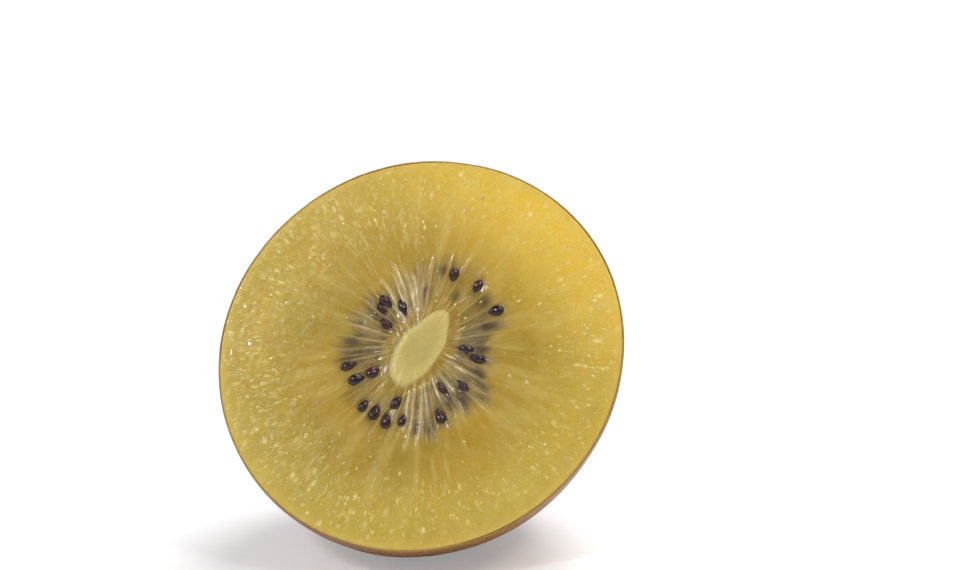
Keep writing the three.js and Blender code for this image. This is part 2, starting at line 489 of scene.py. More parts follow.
def addBump(tree, shader, height, depth):
    # depth in millimetres
    made = place(tree, "Bump", {"Height": height, "Distance": depth * mm, "Strength": 1.0})
    fill(tree, shader, {"Normal": made.outputs["Normal"]})


# Flesh, core, seeds and fibres share the layout of the cut face

core = {
    "longRadius": 6.1,
    "shortRadius": 2.9,
    "depth": 23,
    "angle": 57,
    "rise": 0.9,
    "dents": ((40, 28, 0.2), (-25, 16, 0.1)),  # angle from the long radius, spread, share taken away
}
locules = {
    "count": 36,
    "longReach": 12.8,
    "shortReach": 10.4,
    "sunk": 0.17,
    "wallWidth": 0.17,
    "wallHeight": 0.07,
    "starts": (0.7, 1.8),  # from the core's edge
    "depths": (0.72, 1.0),
    "reaches": (0.84, 1.04),
    "lowerReach": (302, 42, 0.14),  # face angle, spread, share that the chambers reach further there
    "gelBase": 0.28,
    # where the grey gel shows best: face angle, spread, strength
    "gelRuns": (
        (180, 26, 0.9), (318, 32, 1.0), (8, 26, 0.8), (145, 26, 0.55), (95, 20, 0.3), (270, 20, 0.6),
    ),
    "drawSeed": 11,
}
# Seeds by chamber, counter-clockwise from the core's long radius: # is bare, o lies just under the flesh.
seedRows = (
    (0.72, "o..o..#..#.....#...#....#.....#....."),
    (0.95, ".#o....##......#.####...o.#..#o.o.o#"),
    (1.1, "............o.#......o.#.o..o....#.."),
)
seeds = {
    "length": 1.95,
    "width": 1.2,
    "thickness": 0.95,
    "sunk": 0.24,
    "ringLongRadius": 10.8,
    "ringShortRadius": 7.2,
    "angleJitter": 2.0,
    "ringJitter": 0.03,
    "turnJitter": 14,
    "sizeJitter": 0.14,
    "outerSize": 1.12,  # seeds beyond the middle of the ring are larger
    "rows": 26,
    "around": 34,
    "slim": (0.88, 1.22),
    "flat": (0.9, 1.1),
    "lean": 12,
    "sway": 20,
    "lift": (-0.09, 0.07),
    "drawSeed": 7,
    "bodySeed": 21,
    "grain": {"fine": (0.5, 0.6), "patch": (2.5, 0.4)},
    "dark": tint(34, 18, 24),
    "reddish": tint(72, 30, 30),
    "black": tint(26, 16, 22),
    "roughness": (0.22, 0.4),
    "bump": 0.16,
    "shader": {"Coat Weight": 0.75, "Coat Roughness": 0.06, "Specular IOR Level": 0.2},
}
cutFace = {
    "bulge": 0.25,
    # where the flesh is beaded: face angle, spread, distance it starts at, strength
    "rough": (
        (210, 46, 14.5, 0.85), (135, 36, 12, 0.5), (80, 16, 11, 0.2), (300, 40, 15, 0.15), (5, 28, 13, 0.22),
    ),
    "roughBase": 0.12,
    "roughFade": (23.4, 25.2),
    # face angle, distance, reach
    "wetPatches": ((136, 5.6, 2.6), (150, 7.4, 1.9), (262, 9.6, 2.2), (312, 7.2, 1.8)),
    "wetHeight": 0.13,
    "swell": (6.0, 0.06),  # blob size and height, here and below
    "dimples": (1.6, 0.03),
    "beadSize": 0.85,
    "beadHeight": (0.03, 0.1),  # everywhere, and more where it is rough
    "threadHeight": 0.025,
    "seedPit": 0.12,
    "buriedHeight": 0.05,
    "coreGroove": 0.05,
}
coreCentre = np.array((0.0, core["rise"]))


def ellipseReach(longRadius, shortRadius, angle):
    turn = angle - math.radians(core["angle"])
    return 1 / np.hypot(np.cos(turn) / longRadius, np.sin(turn) / shortRadius)


def coreEdge(angle):
    reach = ellipseReach(core["longRadius"], core["shortRadius"], angle)
    for middle, spread, share in core["dents"]:
        reach = reach * (1 - share * bell(turnFrom(angle, core["angle"] + middle), 0, spread))
    return reach


def placeSeeds():
    draw = random.Random(seeds["drawSeed"])
    placed = []
    for share, plan in seedRows:
        for index, mark in enumerate(plan):
            shift, ringShift, turn, size = (swing(draw, 1) for _ in range(4))
            if mark == ".":
                continue
            degrees = core["angle"] + index * 360 / locules["count"] + shift * seeds["angleJitter"]
            angle = math.radians(degrees)
            ring = share + ringShift * seeds["ringJitter"]
            distance = ring * float(ellipseReach(seeds["ringLongRadius"], seeds["ringShortRadius"], angle))
            placed.append({
                "bare": mark == "#",
                "x": coreCentre[0] + distance * math.cos(angle),
                "y": coreCentre[1] + distance * math.sin(angle),
                "turn": angle + math.radians(turn * seeds["turnJitter"]),
                "size": (seeds["outerSize"] if share > 1 else 1) * (1 + seeds["sizeJitter"] * size),
            })
    return placed


placedSeeds = placeSeeds()


ridges = {
    "count": 64,
    # face angle, spread, strength
    "glossyRuns": ((110, 27, 1.0), (268, 24, 0.95), (318, 20, 0.45), (20, 25, 0.12), (180, 30, 0.1)),
    "jitter": 0.3,
    "begin": (-0.4, 0.7),  # from the core's edge
    "lengths": (0.6, 1.0),
    "reach": (3.0, 6.5),  # length where the flesh is dull, and what gloss adds
    "sway": 0.12,
    "halfWidth": (0.13, 0.24),
    "dullStrength": 0.06,
    "dullChance": 0.15,
    "height": 0.17,
    "drawSeed": 5,
}


def runsAt(angle, runs):
    return sum(force * bell(turnFrom(angle, middle), 0, spread) for middle, spread, force in runs)


def glossyAt(angle):
    return runsAt(angle, ridges["glossyRuns"])


def aroundCore(distance, angle):
    return coreCentre[0] + distance * np.cos(angle), coreCentre[1] + distance * np.sin(angle)


def placeRidges():
    draw = random.Random(ridges["drawSeed"])
    placed = []
    for index in range(ridges["count"]):
        angle = (index + swing(draw, ridges["jitter"])) * 2 * math.pi / ridges["count"]
        strength = min(1.0, ridges["dullStrength"] + float(glossyAt(angle)))
        begin, length = draw.uniform(*ridges["begin"]), draw.uniform(*ridges["lengths"])
        sway, halfWidth = swing(draw, ridges["sway"]), draw.uniform(*ridges["halfWidth"])
        if draw.random() > ridges["dullChance"] + (1 - ridges["dullChance"]) * strength:
            continue
        first = float(coreEdge(angle)) + begin
        shortest, more = ridges["reach"]
        placed.append({
            "angle": angle,
            "first": first,
            "last": first + length * (shortest + more * strength),
            "sway": sway,
            "halfWidth": halfWidth * (0.7 + 0.4 * strength),
            "strength": 0.2 + 0.8 * strength,
        })
    return placed


placedRidges = placeRidges()


def ridgeBend(ridge, share):
    return ridge["angle"] + ridge["sway"] * (share - 0.3) ** 2


def ridgeCover(distance, angle):
    cover = np.zeros(np.shape(distance))
    for ridge in placedRidges:
        share = (distance - ridge["first"]) / (ridge["last"] - ridge["first"])
        off = (angle - ridgeBend(ridge, share) + math.pi) % (2 * math.pi) - math.pi
        taper = np.sin(np.clip(share, 0, 1) * math.pi) ** 0.7
        cover = np.maximum(cover, bell(off * distance, 0, ridge["halfWidth"]) * taper * ridge["strength"])
    return cover


def nearSeeds(x, y, reach, bare):
    # 1 over a seed, fading to 0 outside it; reach scales the seed's outline
    cover = np.zeros(np.shape(x))
    for seed in placedSeeds:
        if seed["bare"] != bare:
            continue
        dx, dy = x - seed["x"], y - seed["y"]
        along = dx * math.cos(seed["turn"]) + dy * math.sin(seed["turn"])
        across = -dx * math.sin(seed["turn"]) + dy * math.cos(seed["turn"])
        along = along / (seeds["length"] / 2 * seed["size"] * reach)
        across = across / (seeds["width"] / 2 * seed["size"] * reach)
        cover = np.maximum(cover, np.exp(-((along**2 + across**2) ** 1.4)))
    return cover


def faceFields(x, y):
    # all that varies over the cut flesh: its relief in millimetres and the shares that colour it
    dx, dy = x - coreCentre[0], y - coreCentre[1]
    distance, angle = np.hypot(dx, dy), np.arctan2(dy, dx)
    fromCore = distance - coreEdge(angle)
    spots = facePoints(x, y)
    rays = np.stack((np.cos(angle) * 3, np.sin(angle) * 3, distance * 0.06), axis=-1)

    draw = random.Random(locules["drawSeed"])
    count = locules["count"]
    depthOf = np.array([draw.uniform(*locules["depths"]) for _ in range(count)])
    reachOf = np.array([draw.uniform(*locules["reaches"]) for _ in range(count)])
    phase = (angle - math.radians(core["angle"])) / (2 * math.pi) * count
    phase = phase + 0.4 * softNoise(rays, 1.0, 2.0)
    chamber = np.round(phase).astype(int) % count
    toWall = (0.5 - np.abs(phase - np.round(phase))) * 2 * math.pi * distance / count
    wall = bell(toWall, 0, locules["wallWidth"])
    reach = ellipseReach(locules["longReach"], locules["shortReach"], angle) * reachOf[chamber]
    lowest, width, further = locules["lowerReach"]
    reach = reach * (1 + further * bell(turnFrom(angle, lowest), 0, width))
    inside = smooth(*locules["starts"], fromCore) * (1 - smooth(reach - 2.4, reach + 0.3, distance))
    gel = np.clip(locules["gelBase"] + runsAt(angle, locules["gelRuns"]), 0, 1)
    locule = inside * (1 - 0.2 * wall) * depthOf[chamber] * gel

    bareHalo = nearSeeds(x, y, 1.5, True)
    seedDark = nearSeeds(x, y, 1.0, False)
    cells = cellNoise(spots, cutFace["beadSize"])
    pericarp = smooth(0.2, 1.0, (distance - reach) / 4)
    rough = sum(
        strength * bell(turnFrom(angle, middle), 0, spread) * smooth(low, low + 3, distance)
        for middle, spread, low, strength in cutFace["rough"]
    )
    fade = smooth(*cutFace["roughFade"], distance)
    rough = np.clip(rough + cutFace["roughBase"], 0, 1) * (1 - 0.85 * fade)
    rough = rough * (0.75 + 0.5 * softNoise(spots, 3.0, 3.0))
    wet = np.zeros(np.shape(x))
    for middle, away, reachOfPatch in cutFace["wetPatches"]:
        turn = math.radians(middle)
        gap = np.hypot(dx - away * math.cos(turn), dy - away * math.sin(turn))
        wet = np.maximum(wet, bell(gap, 0, reachOfPatch))
    size, depth = cutFace["swell"]
    fineSize, fineDepth = cutFace["dimples"]
    relief = depth * softNoise(spots, size) + fineDepth * softNoise(spots, fineSize, 9.0) * pericarp
    everywhere, more = cutFace["beadHeight"]
    relief = relief + (everywhere + more * rough) * pericarp * (0.5 - cells)
    relief = relief + cutFace["bulge"] * (1 - (distance / 25) ** 2)
    threads = softNoise(rays * (1, 1, 1.6), 0.055, 4.0)
    relief = relief + cutFace["threadHeight"] * threads * smooth(0.3, 2.0, fromCore)
    relief = relief - locules["sunk"] * inside * (1 - wall) + locules["wallHeight"] * inside * wall
    ridge = ridgeCover(distance, angle) * np.clip(0.9 + 0.8 * softNoise(spots, 1.0, 6.0), 0.15, 1.3)
    relief = relief + ridges["height"] * ridge * (1 - 0.7 * bareHalo)
    relief = relief - cutFace["seedPit"] * bareHalo + cutFace["buriedHeight"] * seedDark
    relief = relief - cutFace["coreGroove"] * bell(fromCore, 0.7, 0.5)
    lumps = np.clip(softNoise(spots, 0.5, 12.0), -0.4, 1)
    relief = relief + cutFace["wetHeight"] * wet * lumps * (1 - 0.6 * bareHalo)
    return {
        "rough": rough,
        "ridge": np.clip(ridge, 0, 1),
        "relief": relief,
        "locule": locule,
        "wall": inside * wall * gel,
        "halo": bell(fromCore, 0.35, 0.95),
        "seedDark": seedDark,
        "pocket": bareHalo,
        "distance": distance,
        "angle": angle,
    }


# Skin

skin = {
    "rows": 190,
    "around": 360,
    "thickness": 0.18,
    "innerRows": 20,
    "rimRise": 0.01,
    "rimLumps": (1.5, 0.03),
    "ashyFrom": (4.5, 11),  # distance from the axis where the stem end's colour fades out
    "goldenFrom": (-9, -1.5),  # place on the axis where the colour near the cut sets in
    "base": tint(162, 106, 46),
    "warm": tint(172, 105, 40),
    "olive": tint(138, 98, 46),
    "shade": tint(108, 64, 30),
    "dot": tint(86, 44, 24),
    "pale": tint(192, 152, 92),
    "ashy": tint(132, 98, 68),
    "golden": tint(188, 130, 50),
    "edge": tint(160, 122, 54),
    "grain": {"blotch": (9.0, 0.55), "cloud": (2.6, 0.6), "fine": (0.9, 0.7), "leather": (0.32, 0.6)},
    "roughness": (0.32, 0.48),
    "bump": 0.16,
    "shader": {
        "Subsurface Weight": 0.08,
        "Subsurface Radius": (1.0, 0.6, 0.3),
        "Subsurface Scale": 0.0008,
        "Specular IOR Level": 0.48,
        "Coat Weight": 0.1,
        "Coat Roughness": 0.3,
    },
}


def skinMaterial():
    made, tree, shader, where = startMaterial("skin")
    grain = grainsOf(tree, where, skin["grain"])
    near = painted(tree, "nearCut")
    often = stretch(tree, near, 0.0, 1.0, 0.4, 0.95)
    pores = effect(tree, dotsEffect, Vector=where, Spacing=1.15, Width=0.27, Amount=often)
    small = effect(tree, dotsEffect, Vector=where, Spacing=0.7, Width=0.24, Amount=0.5)
    flecks = effect(tree, dotsEffect, Vector=where, Spacing=0.5, Width=0.24, Amount=0.45)
    colour = layered(
        tree, mixed(tree, grain["blotch"]["Tone"], skin["base"], skin["warm"]),
        (grain["cloud"]["Tone"], 0.25, skin["olive"]),
        (near, 0.5, skin["golden"]),
        (grain["fine"]["Tone"], 0.32, skin["shade"]),
        (grain["leather"]["Tone"], 0.2, skin["olive"]),
        (flecks["Mask"], 0.3, skin["pale"]),
        (small["Mask"], 0.35, skin["shade"]),
        (pores["Mask"], 0.7, skin["dot"]),
        (painted(tree, "stemEnd"), 1, skin["ashy"]),
        (painted(tree, "cutEdge"), 1, skin["edge"]),
    )
    dress(tree, shader, colour, toneTo(tree, grain["fine"]["Tone"], skin["roughness"]), skin["shader"])
    height = addedUp(
        tree, grain["fine"]["Height"],
        (pores["Height"], 0.6), (grain["leather"]["Height"], 0.45), (flecks["Height"], 0.35),
    )
    height = maths(tree, "SUBTRACT", height, times(tree, small["Height"], 0.4))
    addBump(tree, shader, height, skin["bump"])
    return made


def makeSkin():
    around = turns(skin["around"])
    shares = np.linspace(0, 1, skin["rows"] + 1)[1:]
    outer = bodySurface(shares, around, 0)
    rim = bodySurface([1.0], around, skin["thickness"] / 2) + (0, 0, skin["rimRise"])
    size, depth = skin["rimLumps"]
    rim[..., 2] += depth * softNoise(rim, size)
    inner = bodySurface(np.linspace(1, 0, skin["innerRows"] + 1)[:-1], around, skin["thickness"])
    outside = pressFlat(toWorld(np.concatenate((outer, rim))), 0)
    inside = pressFlat(toWorld(inner), skin["thickness"])
    rows = np.concatenate((outside, inside))
    ends = toWorld(endPoint(0)), toWorld(endPoint(skin["thickness"]))
    piece = buildPiece("skin_peel", [(rows, *ends)], skinMaterial())
    edge, stem, near = (np.zeros(rows.shape[:2]) for _ in range(3))
    distance, along = outline(shares).T
    edge[skin["rows"] - 1:skin["rows"] + 2] = 1
    stem[:skin["rows"]] = (0.8 * (1 - smooth(*skin["ashyFrom"], distance)))[:, None]
    near[:skin["rows"]] = smooth(*skin["goldenFrom"], along)[:, None]
    paint(piece, "cutEdge", np.append(edge, (0, 0)))
    paint(piece, "nearCut", np.append(near, (0, 0)))
    paint(piece, "stemEnd", np.append(stem, (1, 1)))
    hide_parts("skin")
    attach(piece, "root")


makeSkin()
print("skin is built")


# Flesh

flesh = {
    "around": 512,
    "innerRows": 84,
    "outerRows": 70,
    "split": 0.36,  # share of the way to the rim where the rows get wider
    "backRows": 26,
    "pocketRows": 9,
    "underCore": 0.45,
    "rimGap": 0.01,
    "backGap": 0.03,
    "outerFrom": (0.42, 0.86),  # share of the way to the rim where the outer colour sets in
    # painted light: the upper right of the cut is painted lighter and more golden, as the near key light
    # would make it; the way it rises and the distances where it starts and is full
    "sunWay": (0.66, 0.75),
    "paintedLitFrom": (9, 24),
    "rayEnds": (11, 19),
    "rayShares": (0.35, 0.65),  # in dull directions, and what gloss adds
    "outer": tint(205, 182, 82),
    "middle": tint(163, 134, 44),
    "pale": tint(232, 212, 130),
    "bright": tint(240, 222, 142),
    "gold": tint(206, 160, 50),
    "olive": tint(176, 156, 62),
    "halo": tint(140, 111, 38),
    "gel": tint(140, 118, 74),
    "gap": tint(80, 68, 46),
    "wall": tint(190, 172, 116),
    "ridge": tint(218, 198, 150),
    # colour of the painted light on the upper right of the cut
    "paintedLitGold": tint(238, 200, 74),
    "seedDark": tint(58, 38, 34),
    "rim": tint(218, 188, 92),
    "grain": {"patches": (7.0, 0.5), "mottle": (1.8, 0.65), "grain": (0.35, 0.6)},
    "streaks": {
        "broad": (7.0, 9.0, 0.46, 0.72),
        "fine": (24.0, 5.0, 0.46, 0.66),
        "hair": (22.0, 4.0, 0.54, 0.7),
        "gaps": (11.0, 3.0, 0.4, 0.58),
        "frayed": (17.0, 4.0, 0.48, 0.62),
    },
    "roughness": (0.24, 0.4),
    "bump": 0.12,
    "shader": {
        "Subsurface Weight": 0.32,
        "Subsurface Radius": (1.0, 0.66, 0.22),
        "Subsurface Scale": 0.0012,
        "Coat Roughness": 0.07,
        "Coat IOR": 1.4,
        "IOR": 1.4,
    },
}


def fleshMaterial():
    made, tree, shader, where = startMaterial("flesh")
    rays = painted(tree, "rays", "Vector")
    rough, halo, locule, ridge = (painted(tree, name) for name in ("rough", "halo", "locule", "ridge"))
    outer = painted(tree, "outerShare")
    grain = grainsOf(tree, where, flesh["grain"])
    streaks = streaksOf(tree, rays, flesh["streaks"])
    amount = stretch(tree, rough, 0.0, 0.8, 0.16, 1.0)
    flecks = effect(tree, flecksEffect, Rays=rays, Fineness=32.0, Length=1.15, Width=0.6, Amount=amount)
    sparse = effect(tree, flecksEffect, Rays=rays, Fineness=60.0, Length=0.6, Width=0.56, Amount=amount)
    outward = times(tree, maths(tree, "MAXIMUM", flecks["Mask"], sparse["Mask"]), outer)
    gel = layered(
        tree, flesh["gel"],
        (streaks["gaps"], 0.85, flesh["gap"]),
        (streaks["fine"], 0.35, flesh["wall"]),
    )
    colour = layered(
        tree, mixed(tree, outer, flesh["middle"], flesh["outer"]),
        (grain["patches"]["Tone"], 0.35, flesh["gold"]),
        (grain["mottle"]["Tone"], 0.35, flesh["olive"]),
        # painted light: the upper right of the cut lighter and more golden
        (painted(tree, "paintedLitSide"), 1, flesh["paintedLitGold"]),
        (streaks["broad"], 0.22, flesh["pale"]),
        (times(tree, streaks["hair"], painted(tree, "rayShare")), 0.36, flesh["pale"]),
        (grain["grain"]["Tone"], 0.18, flesh["olive"]),
        (rough, 0.4, flesh["middle"]),
        (outward, 1, flesh["bright"]),
        (halo, 0.75, flesh["halo"]),
        (times(tree, streaks["frayed"], halo), 0.3, flesh["pale"]),
        (locule, 1, gel),
        (painted(tree, "wall"), 0.3, flesh["wall"]),
        # dark over the seeds just under the flesh, and painted shade round the bare seeds
        (painted(tree, "seedDark"), 1, flesh["seedDark"]),
        (ridge, 0.62, flesh["ridge"]),
        (painted(tree, "rimLine"), 1, flesh["rim"]),
    )
    dull = toneTo(tree, grain["mottle"]["Tone"], flesh["roughness"])
    dull = maths(tree, "SUBTRACT", dull, times(tree, ridge, 0.1))
    wet = maths(tree, "ADD", times(tree, rough, 0.6), 0.25)
    wet = maths(tree, "MAXIMUM", wet, maths(tree, "MAXIMUM", locule, ridge))
    dress(tree, shader, colour, dull, {"Coat Weight": wet, **flesh["shader"]})
    height = addedUp(
        tree, times(tree, grain["mottle"]["Height"], 0.5),
        (grain["grain"]["Height"], 0.25),
        (outward, stretch(tree, rough, 0.0, 0.8, 0.35, 1.1)),
        (times(tree, streaks["fine"], locule), 0.5),
    )
    addBump(tree, shader, height, flesh["bump"])
    return made


def rimDistance(angle):
    # from the core's centre to the flesh's rim, in each direction
    inset = skin["thickness"] + flesh["rimGap"]
    axes = np.array((fruit["longRadius"] - inset, fruit["shortRadius"] - inset))
    roll = math.radians(fruit["roll"])
    rolled = np.array(((math.cos(roll), math.sin(roll)), (-math.sin(roll), math.cos(roll))))
    start = rolled @ coreCentre / axes
    way = (rolled @ np.stack((np.cos(angle), np.sin(angle)))) / axes[:, None]
    a = (way**2).sum(0)
    b = (way * start[:, None]).sum(0)
    c = (start**2).sum() - 1
    return (-b + np.sqrt(b * b - a * c)) / a


def bodyAngle(x, y):
    # the angle round the fruit's axis, before it is rolled, of a place on the cut
    roll = math.radians(fruit["roll"])
    long = x * math.cos(roll) + y * math.sin(roll)
    short = -x * math.sin(roll) + y * math.cos(roll)
    return np.arctan2(short / fruit["shortRadius"], long / fruit["longRadius"])


def paintRays(piece, angle, distance, before, after):
    # the direction round the core and the distance from it; none for the hidden points before and after
    heading = np.stack((np.cos(angle) + 0 * distance, np.sin(angle) + 0 * distance, distance), axis=-1)
    flat = np.concatenate((np.zeros((before, 3)), heading.reshape(-1, 3), np.zeros((after, 3))))
    layer = piece.data.attributes.new("rays", "FLOAT_VECTOR", "POINT")
    layer.data.foreach_set("vector", flat.astype(np.float32).ravel())


def makeFlesh():
    angle = turns(flesh["around"])
    start = coreEdge(angle) - flesh["underCore"]
    end = rimDistance(angle)
    near = np.linspace(0, flesh["split"], flesh["innerRows"], endpoint=False)
    far = np.linspace(flesh["split"], 1, flesh["outerRows"])
    share = np.concatenate((near, far))[:, None]
    distance = start + (end - start) * share
    x, y = aroundCore(distance, angle)
    fields = faceFields(x, y)
    toRim = end - distance
    face = facePoints(x, y, fields["relief"] * smooth(0, 0.8, toRim))

    inset = skin["thickness"] + flesh["rimGap"] + flesh["backGap"]
    back = bodySurface(np.linspace(1, 0, flesh["backRows"])[1:-1], bodyAngle(x[-1], y[-1]), inset)
    pocket = []
    for depth in np.linspace(1, 0, flesh["pocketRows"])[:-1]:
        narrow = max(0.05, 1 - depth) ** 0.5
        pocket.append(facePoints(*aroundCore(start * narrow, angle), -core["depth"] * depth - 0.2))
    pocket = np.array(pocket)
    rows = pressFlat(toWorld(np.concatenate((pocket, face, back))), inset)
    bottom = np.array((*coreCentre, -core["depth"] - 0.4))
    piece = buildPiece("flesh_body", [(rows, toWorld(bottom), toWorld(endPoint(inset)))], fleshMaterial())

    def spread(values, fillPocket=0.0, fillBack=0.0):
        # the values of the face, and one value each for the rows on either side of it
        before, after = np.full(pocket.shape[:2], fillPocket), np.full(back.shape[:2], fillBack)
        return np.append(np.concatenate((before, values, after)), (fillPocket, fillBack))

    for name in ("locule", "wall", "halo", "rough", "ridge"):
        paint(piece, name, spread(fields[name]))
    # dark over the seeds that lie just under the flesh, plus painted shade in the pits round the bare seeds
    paint(piece, "seedDark", spread(0.7 * fields["seedDark"] + 0.5 * fields["pocket"]))
    wavy = share + 0.05 * softNoise(face, 4.0)
    paint(piece, "outerShare", spread(smooth(*flesh["outerFrom"], wavy), 0, 1))
    paint(piece, "rimLine", spread(0.6 * bell(toRim, 0, 0.8), 0, 0.6))
    # painted light: lighter and more golden towards the upper right of the cut, where the key light falls
    right, up = flesh["sunWay"]
    paint(piece, "paintedLitSide", spread(0.86 * smooth(*flesh["paintedLitFrom"], x * right + y * up)))
    glossy = np.clip(glossyAt(fields["angle"]), 0, 1)
    rayReach = smooth(*flesh["rayEnds"], distance - 4 * glossy)
    dull, more = flesh["rayShares"]
    paint(piece, "rayShare", spread((dull + more * glossy) * (1 - rayReach)))
    paintRays(piece, fields["angle"], distance, pocket[..., 0].size, back[..., 0].size + 2)
    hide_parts("flesh")
    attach(piece, "root")


makeFlesh()
print("flesh is built")


# Core

coreLook = {
    "around": 640,
    "rows": 40,
    "spike": 0.34,
    "spikes": 84,
    "columnRows": 10,
    "proud": 0.07,
    "swell": (2.5, 0.05),  # blob size and height, here and below
    "dimples": (0.5, 0.02),
    "edgeDrop": 0.11,
    "edgeFrom": (0.35, 0.95),
    "meltFrom": (0.8, 1.0),
    "centre": tint(184, 166, 90),
    "edge": tint(206, 188, 108),
    "fleck": tint(224, 210, 140),
    "grain": {"soft": (2.2, 0.5), "fine": (0.5, 0.6)},
    "streaks": {"fringe": (16.0, 3.0, 0.45, 0.7)},
    "roughness": (0.34, 0.5),
    "bump": 0.07,
    "shader": {
        "Subsurface Weight": 0.4,
        "Subsurface Radius": (1.0, 0.8, 0.4),
        "Subsurface Scale": 0.0015,
        "Coat Weight": 0.25,
        "Coat Roughness": 0.15,
    },
}


def coreMaterial():
    made, tree, shader, where = startMaterial("core")
    grain = grainsOf(tree, where, coreLook["grain"])
    streaks = streaksOf(tree, painted(tree, "rays", "Vector"), coreLook["streaks"])
    edge = painted(tree, "edgeShare")
    colour = layered(
        tree, mixed(tree, edge, coreLook["centre"], coreLook["edge"]),
        (grain["soft"]["Tone"], 0.3, coreLook["edge"]),
        (times(tree, streaks["fringe"], edge), 0.5, coreLook["fleck"]),
        (painted(tree, "melt"), 1, flesh["halo"]),
    )
    roughness = toneTo(tree, grain["fine"]["Tone"], coreLook["roughness"])
    dress(tree, shader, colour, roughness, coreLook["shader"])
    addBump(tree, shader, grain["fine"]["Height"], coreLook["bump"])
    return made


def makeCore():
    angle = turns(coreLook["around"])
    edge = coreEdge(angle)
    ring = facePoints(np.cos(angle), np.sin(angle)) * coreLook["spikes"] / (2 * math.pi)
    frayed = np.abs(softNoise(ring, 1.0, 7.0)) ** 0.8 * 1.5
    edge = edge + coreLook["spike"] * (np.clip(frayed, 0, 1) - 0.35)
    share = np.linspace(0, 1, coreLook["rows"] + 1)[1:, None] ** 0.8
    distance = edge * share
    x, y = aroundCore(distance, angle)
    spots = facePoints(x, y)
    z = coreLook["proud"]
    for size, depth in (coreLook["swell"], coreLook["dimples"]):
        z = z + depth * softNoise(spots, size)
    z = z - coreLook["edgeDrop"] * smooth(0.68, 1.0, share) + cutFace["bulge"]
    column = []
    for depth in np.linspace(0.02, 1, coreLook["columnRows"])[:-1]:
        narrow = (coreEdge(angle) - flesh["underCore"] - 0.1) * (1 - depth) ** 0.5
        column.append(facePoints(*aroundCore(narrow, angle), -core["depth"] * depth))
    column = np.array(column)
    rows = toWorld(np.concatenate((facePoints(x, y, z), column)))
    top = np.array((*coreCentre, float(z[0].mean())))
    bottom = np.array((*coreCentre, -core["depth"]))
    piece = buildPiece("core_column", [(rows, toWorld(top), toWorld(bottom))], coreMaterial())
    edgeShare = np.concatenate((smooth(*coreLook["edgeFrom"], share) + 0 * x, np.ones(column.shape[:2])))
    paint(piece, "edgeShare", np.append(edgeShare, (0, 1)))
    melt = np.concatenate((0.6 * smooth(*coreLook["meltFrom"], share) + 0 * x, np.ones(column.shape[:2])))
    paint(piece, "melt", np.append(melt, (0, 1)))
    paintRays(piece, angle, distance, 0, column[..., 0].size + 2)
    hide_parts("core")
    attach(piece, "root")


makeCore()
print("core is built")


# Seeds

def seedMaterial():
    made, tree, shader, where = startMaterial("seed")
    grain = grainsOf(tree, where, seeds["grain"])
    fine = grain["fine"]
    colour = layered(
        tree, mixed(tree, grain["patch"]["Tone"], seeds["dark"], seeds["reddish"]),
        (fine["Tone"], 0.25, seeds["black"]),
    )
    dress(tree, shader, colour, toneTo(tree, fine["Tone"], seeds["roughness"]), seeds["shader"])
    addBump(tree, shader, fine["Height"], seeds["bump"])
    return made


def seedBody(seed, draw):
    # a flat drop, pointed towards the core
    turn = np.linspace(0, math.pi, seeds["rows"] + 2)[1:-1, None]
    angle = turns(seeds["around"])
    radius = np.sin(turn) * (0.76 + 0.26 * np.sin(turn - math.pi / 3))
    along = -np.cos(turn) + 0 * angle
    across = radius * np.cos(angle)
    up = radius * np.sin(angle)
    local = np.stack((along * seeds["length"], across * seeds["width"], up * seeds["thickness"]), axis=-1)
    local = local / 2 * seed["size"]
    slim = np.array((1.0, draw.uniform(*seeds["slim"]), draw.uniform(*seeds["flat"])))
    dents = 0.07 * softNoise(local, 0.7, draw.uniform(0, 50))
    dents = dents + 0.035 * softNoise(local, 0.25, draw.uniform(0, 50))
    local = local * slim * (1 + dents)[..., None]
    tips = np.array(((-1, 0, 0), (1, 0, 0))) * seeds["length"] / 2 * seed["size"]
    lean, sway = math.radians(swing(draw, seeds["lean"])), math.radians(swing(draw, seeds["sway"]))
    c, s = math.cos(seed["turn"]), math.sin(seed["turn"])
    outRow = np.array((c, s, 0.0))
    sideRow = np.array((-s, c, 0.0))
    upRow = np.array((0.0, 0.0, 1.0))
    long = outRow * math.cos(lean) + upRow * math.sin(lean)
    normal = upRow * math.cos(lean) - outRow * math.sin(lean)
    side = sideRow * math.cos(sway) + normal * math.sin(sway)
    normal = normal * math.cos(sway) - sideRow * math.sin(sway)
    frameOf = np.stack((long, side, normal))
    spot = np.array((seed["x"], seed["y"], cutFace["bulge"] - seeds["sunk"] + draw.uniform(*seeds["lift"])))
    return toWorld(local @ frameOf + spot), *(toWorld(tip @ frameOf + spot) for tip in tips)


def makeSeeds():
    draw = random.Random(seeds["bodySeed"])
    bodies = [seedBody(seed, draw) for seed in placedSeeds if seed["bare"]]
    piece = buildPiece("seeds", bodies, seedMaterial())
    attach(piece, "root")


makeSeeds()
print("seeds are built")


# Pale fibres that stand a little out of the wet flesh, most of them above and below the core

fibres = {
    "perRidge": 2,
    "begin": (0.02, 0.5),  # share of the ridge's length, as the next
    "lengths": (0.25, 0.6),
    "shift": 0.2,
    "thickness": (0.5, 1.1),
    "width": 0.085,
    "height": 0.07,
    # near white: the fibres' own pale colour, lightened further as a painted highlight along them
    "colour": tint(244, 234, 208),
    "dull": tint(212, 194, 140),
    "drawSeed": 15,
    "rows": 22,
    "around": 8,
    "grain": {"fine": (0.7, 0.6)},
    "roughness": (0.2, 0.34),
    "bump": 0.06,
    "shader": {
        "Subsurface Weight": 0.2,
        "Subsurface Radius": (1.0, 1.0, 0.8),
        "Subsurface Scale": 0.0005,
        "Coat Weight": 1.0,
        "Coat Roughness": 0.05,
    },
}


